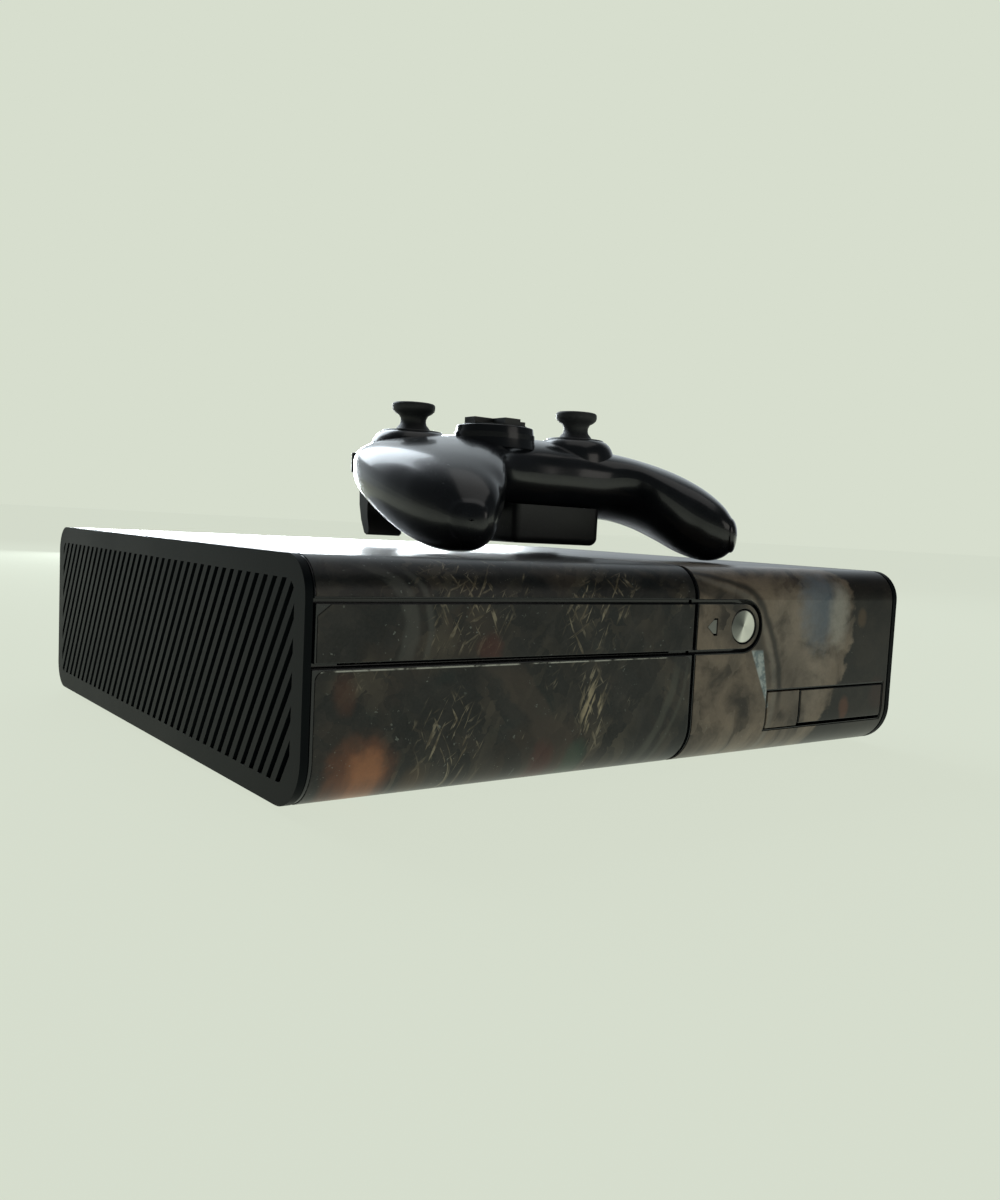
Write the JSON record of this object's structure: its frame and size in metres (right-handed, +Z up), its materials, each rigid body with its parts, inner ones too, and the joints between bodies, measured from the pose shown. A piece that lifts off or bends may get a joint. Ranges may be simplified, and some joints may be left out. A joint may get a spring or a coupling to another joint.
{
  "type": "game console with controller",
  "caption": "Slim disc-tray games console lying flat in a printed vinyl wrap, with a glossy black wireless twin-stick controller resting on its lid.",
  "frame": {"origin": "on the ground under the middle of the console", "axes": "+Z up, +X along the console's width to the right as its front is faced, the front with the disc tray faces -Y"},
  "size_m": [0.27, 0.264, 0.136],
  "materials": {
    "gloss_black": "polished",
    "satin_black": "satin",
    "cap_charcoal": "satin",
    "printed_vinyl": "semi-gloss printed film",
    "zinc_steel": "plated",
    "spun_metal": "spun",
    "foot_rubber": "matte",
    "stick_rubber": "matte",
    "circuit_board": "lacquered",
    "aluminium": "milled",
    "nylon": "moulded",
    "key_green": "polished",
    "key_red": "polished",
    "key_blue": "polished",
    "key_yellow": "polished",
    "guide_silver": "metallised",
    "ring_smoke": "translucent smoke"
  },
  "bodies": {
    "root": {"lower_shell": "satin_black", "upper_shell": "gloss_black", "front_panel_left": "gloss_black", "front_panel_right": "gloss_black", "rear_panel": "satin_black", "left_end_cap": "cap_charcoal", "right_end_cap": "cap_charcoal", "button_strip": "gloss_black", "rubber_feet": "foot_rubber", "vinyl_wrap": "printed_vinyl", "drive_case": "zinc_steel", "drive_deck": "zinc_steel", "front_usb_ports": "zinc_steel", "front_board": "circuit_board", "mainboard": "circuit_board", "heat_sink": "aluminium", "fan_housing": "satin_black", "rear_ports": "zinc_steel", "av_jack": "satin_black"},
    "tray": {"disc_tray": "satin_black", "tray_bezel": "gloss_black", "tray_vinyl": "printed_vinyl"},
    "pinion": {"tray_pinion": "nylon"},
    "sled": {"laser_sled": "satin_black"},
    "spindle": {"spindle_hub": "satin_black"},
    "fan": {"fan_rotor": "satin_black"},
    "power": {"power_button": "spun_metal"},
    "eject": {"eject_button": "spun_metal"},
    "pairing": {"pairing_button": "printed_vinyl"},
    "flap": {"usb_flap": "gloss_black", "flap_vinyl": "printed_vinyl"},
    "drive_caddy": {"hard_drive": "zinc_steel", "hard_drive_door": "cap_charcoal"},
    "pad": {"pad_top_shell": "gloss_black", "pad_bottom_shell": "gloss_black", "pad_light_ring": "ring_smoke", "pad_board": "circuit_board", "pad_motors": "zinc_steel", "pad_screws": "zinc_steel"},
    "pad_battery": {"pad_battery_pack": "satin_black"},
    "bumper_left": {"pad_bumper_left": "gloss_black"},
    "bumper_right": {"pad_bumper_right": "gloss_black"},
    "trigger_left": {"pad_trigger_left": "satin_black"},
    "trigger_right": {"pad_trigger_right": "satin_black"},
    "gimbal_left": {"pad_gimbal_left": "zinc_steel"},
    "gimbal_right": {"pad_gimbal_right": "zinc_steel"},
    "stick_left": {"pad_stick_left": "stick_rubber"},
    "stick_right": {"pad_stick_right": "stick_rubber"},
    "dpad_cradle": {"pad_dpad_cradle": "zinc_steel"},
    "dpad": {"pad_dpad": "satin_black"},
    "guide": {"pad_guide_button": "guide_silver"},
    "key_south": {"pad_button_south": "key_green"},
    "key_east": {"pad_button_east": "key_red"},
    "key_west": {"pad_button_west": "key_blue"},
    "key_north": {"pad_button_north": "key_yellow"},
    "key_back": {"pad_back_button": "satin_black"},
    "key_start": {"pad_start_button": "satin_black"},
    "pad_pairing": {"pad_pairing_button": "satin_black"},
    "weight_left": {"pad_weight_left": "zinc_steel"},
    "weight_right": {"pad_weight_right": "zinc_steel"}
  },
  "joints": [
    {"name": "tray_slide", "type": "slide", "parent": "root", "child": "tray", "axis": [0, -1, 0], "range_m": [0, 0.128]},
    {"name": "pinion_spin", "type": "hinge", "parent": "root", "child": "pinion", "pos_m": [-0.1053, -0.104, 0.05], "axis": [0, 0, 1], "range_deg": [-6, 930]},
    {"name": "sled_slide", "type": "slide", "parent": "root", "child": "sled", "axis": [0, 1, 0], "range_m": [0, 0.036]},
    {"name": "spindle_spin", "type": "hinge", "parent": "root", "child": "spindle", "pos_m": [-0.0583, -0.061, 0.05], "axis": [0, 0, 1], "continuous": true},
    {"name": "fan_spin", "type": "hinge", "parent": "root", "child": "fan", "pos_m": [0.072, 0.044, 0.05], "axis": [0, 0, 1], "continuous": true},
    {"name": "power_press", "type": "slide", "parent": "root", "child": "power", "axis": [0, 1, 0], "range_m": [0, 0.0012], "stiffness_N_per_m": 300, "springref_m": -0.001},
    {"name": "eject_press", "type": "slide", "parent": "root", "child": "eject", "axis": [0, 1, 0], "range_m": [0, 0.0012], "stiffness_N_per_m": 300, "springref_m": -0.001},
    {"name": "pairing_press", "type": "slide", "parent": "root", "child": "pairing", "axis": [0, 1, 0], "range_m": [0, 0.0009], "stiffness_N_per_m": 300, "springref_m": -0.001},
    {"name": "flap_hinge", "type": "hinge", "parent": "root", "child": "flap", "pos_m": [0.055, -0.1302, 0.015], "axis": [1, 0, 0], "range_deg": [0, 80]},
    {"name": "caddy_slide", "type": "slide", "parent": "root", "child": "drive_caddy", "axis": [1, 0, 0], "range_m": [0, 0.11]},
    {"name": "pad_lift", "type": "slide", "parent": "root", "child": "pad", "axis": [0, 0, 1], "range_m": [0, 0.12]},
    {"name": "battery_slide", "type": "slide", "parent": "pad", "child": "pad_battery", "axis": [0, -1, 0], "range_m": [0, 0.06]},
    {"name": "bumper_left_press", "type": "hinge", "parent": "pad", "child": "bumper_left", "pos_m": [-0.013, 0.004, 0.105], "axis": [0, 0, 1], "range_deg": [0, 2], "stiffness_Nm_per_rad": 0.6, "springref_deg": -3.44},
    {"name": "trigger_left_pull", "type": "hinge", "parent": "pad", "child": "trigger_left", "pos_m": [-0.033, -0.002, 0.102], "axis": [-1, 0, 0], "range_deg": [0, 12], "stiffness_Nm_per_rad": 0.15, "springref_deg": -6.88},
    {"name": "weight_left_spin", "type": "hinge", "parent": "pad", "child": "weight_left", "pos_m": [-0.047, -0.068, 0.0945], "axis": [0, 1, 0], "continuous": true},
    {"name": "bumper_right_press", "type": "hinge", "parent": "pad", "child": "bumper_right", "pos_m": [0.035, 0.004, 0.105], "axis": [0, 0, -1], "range_deg": [0, 2], "stiffness_Nm_per_rad": 0.6, "springref_deg": -3.44},
    {"name": "trigger_right_pull", "type": "hinge", "parent": "pad", "child": "trigger_right", "pos_m": [0.055, -0.002, 0.102], "axis": [-1, 0, 0], "range_deg": [0, 12], "stiffness_Nm_per_rad": 0.15, "springref_deg": -6.88},
    {"name": "weight_right_spin", "type": "hinge", "parent": "pad", "child": "weight_right", "pos_m": [0.069, -0.068, 0.0945], "axis": [0, 1, 0], "continuous": true},
    {"name": "stick_left_pitch", "type": "hinge", "parent": "pad", "child": "gimbal_left", "pos_m": [-0.032, -0.008, 0.1125], "axis": [1, 0, 0], "range_deg": [-18, 18], "stiffness_Nm_per_rad": 0.03},
    {"name": "stick_left_roll", "type": "hinge", "parent": "gimbal_left", "child": "stick_left", "pos_m": [-0.032, -0.008, 0.1125], "axis": [0, 1, 0], "range_deg": [-18, 18], "stiffness_Nm_per_rad": 0.03},
    {"name": "stick_right_pitch", "type": "hinge", "parent": "pad", "child": "gimbal_right", "pos_m": [0.032, -0.036, 0.114], "axis": [1, 0, 0], "range_deg": [-18, 18], "stiffness_Nm_per_rad": 0.03},
    {"name": "stick_right_roll", "type": "hinge", "parent": "gimbal_right", "child": "stick_right", "pos_m": [0.032, -0.036, 0.114], "axis": [0, 1, 0], "range_deg": [-18, 18], "stiffness_Nm_per_rad": 0.03},
    {"name": "dpad_pitch", "type": "hinge", "parent": "pad", "child": "dpad_cradle", "pos_m": [-0.01, -0.036, 0.115], "axis": [1, 0, 0], "range_deg": [-5, 5], "stiffness_Nm_per_rad": 0.1},
    {"name": "dpad_roll", "type": "hinge", "parent": "dpad_cradle", "child": "dpad", "pos_m": [-0.01, -0.036, 0.115], "axis": [0, 1, 0], "range_deg": [-5, 5], "stiffness_Nm_per_rad": 0.1},
    {"name": "guide_press", "type": "slide", "parent": "pad", "child": "guide", "axis": [0, 0, -1], "range_m": [0, 0.0008], "stiffness_N_per_m": 300, "springref_m": -0.001},
    {"name": "key_south_press", "type": "slide", "parent": "pad", "child": "key_south", "axis": [0, 0, -1], "range_m": [0, 0.0012], "stiffness_N_per_m": 300, "springref_m": -0.001},
    {"name": "key_east_press", "type": "slide", "parent": "pad", "child": "key_east", "axis": [0, 0, -1], "range_m": [0, 0.0012], "stiffness_N_per_m": 300, "springref_m": -0.001},
    {"name": "key_west_press", "type": "slide", "parent": "pad", "child": "key_west", "axis": [0, 0, -1], "range_m": [0, 0.0012], "stiffness_N_per_m": 300, "springref_m": -0.001},
    {"name": "key_north_press", "type": "slide", "parent": "pad", "child": "key_north", "axis": [0, 0, -1], "range_m": [0, 0.0008], "stiffness_N_per_m": 300, "springref_m": -0.001},
    {"name": "key_back_press", "type": "slide", "parent": "pad", "child": "key_back", "axis": [0, 0, -1], "range_m": [0, 0.0008], "stiffness_N_per_m": 300, "springref_m": -0.001},
    {"name": "key_start_press", "type": "slide", "parent": "pad", "child": "key_start", "axis": [0, 0, -1], "range_m": [0, 0.0008], "stiffness_N_per_m": 300, "springref_m": -0.001},
    {"name": "pad_pairing_press", "type": "slide", "parent": "pad", "child": "pad_pairing", "axis": [0, -1, 0], "range_m": [0, 0.0006], "stiffness_N_per_m": 300, "springref_m": -0.001}
  ],
  "couplings": [
    {"joint": "pinion_spin", "follows": "tray_slide", "rad_per_m": 125}
  ]
}
